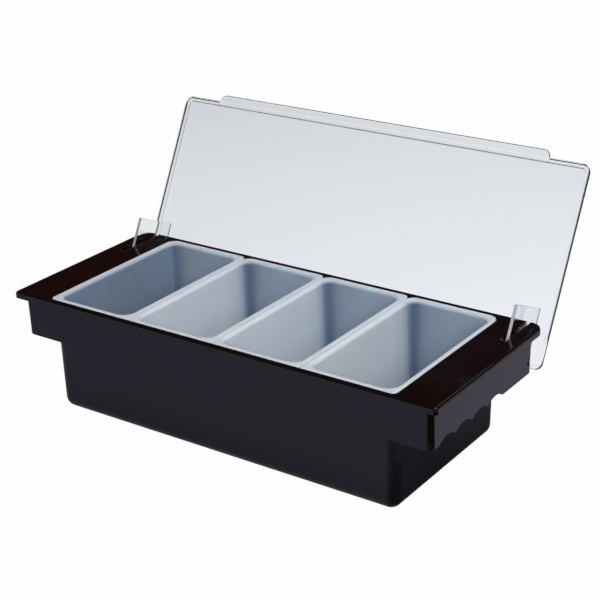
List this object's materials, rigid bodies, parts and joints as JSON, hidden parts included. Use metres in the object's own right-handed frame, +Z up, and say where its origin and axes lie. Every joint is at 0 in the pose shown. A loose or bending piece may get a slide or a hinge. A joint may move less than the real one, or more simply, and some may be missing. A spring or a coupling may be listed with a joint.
{
  "type": "condiment caddy",
  "caption": "Countertop condiment caddy: black moulded housing with finger-grip ends, lift-out translucent inserts and one clear full-width lid that tips back on a hinge.",
  "frame": {"origin": "middle of the underside of the housing's tub, where the caddy stands", "axes": "+X along the row of inserts, +Y towards the lid's hinge at the back, +Z up"},
  "size_m": [0.36, 0.2207, 0.1917],
  "materials": {
    "housing_plastic": "glossy moulded black",
    "pin_steel": "drawn stainless pin",
    "insert_plastic": "satin, milky translucent",
    "clear_plastic": "glossy, clear"
  },
  "bodies": {
    "housing_body": {"housing": "housing_plastic", "hinge_pin_left": "pin_steel", "hinge_pin_right": "pin_steel"},
    "lid_body": {"lid_panel": "clear_plastic", "hinge_arm_left": "clear_plastic", "hinge_arm_right": "clear_plastic"},
    "insert_1_body": {"insert_1": "insert_plastic"},
    "insert_2_body": {"insert_2": "insert_plastic"},
    "insert_3_body": {"insert_3": "insert_plastic"},
    "insert_4_body": {"insert_4": "insert_plastic"}
  },
  "joints": [
    {"name": "lid_hinge", "type": "hinge", "parent": "housing_body", "child": "lid_body", "pos_m": [0, 0.0637, 0.0753], "axis": [-1, 0, 0], "range_deg": [-117.24, 0]},
    {"name": "insert_1_lift", "type": "slide", "parent": "housing_body", "child": "insert_1_body", "axis": [0, 0, 1], "range_m": [0, 0.088]},
    {"name": "insert_2_lift", "type": "slide", "parent": "housing_body", "child": "insert_2_body", "axis": [0, 0, 1], "range_m": [0, 0.088]},
    {"name": "insert_3_lift", "type": "slide", "parent": "housing_body", "child": "insert_3_body", "axis": [0, 0, 1], "range_m": [0, 0.088]},
    {"name": "insert_4_lift", "type": "slide", "parent": "housing_body", "child": "insert_4_body", "axis": [0, 0, 1], "range_m": [0, 0.088]}
  ]
}
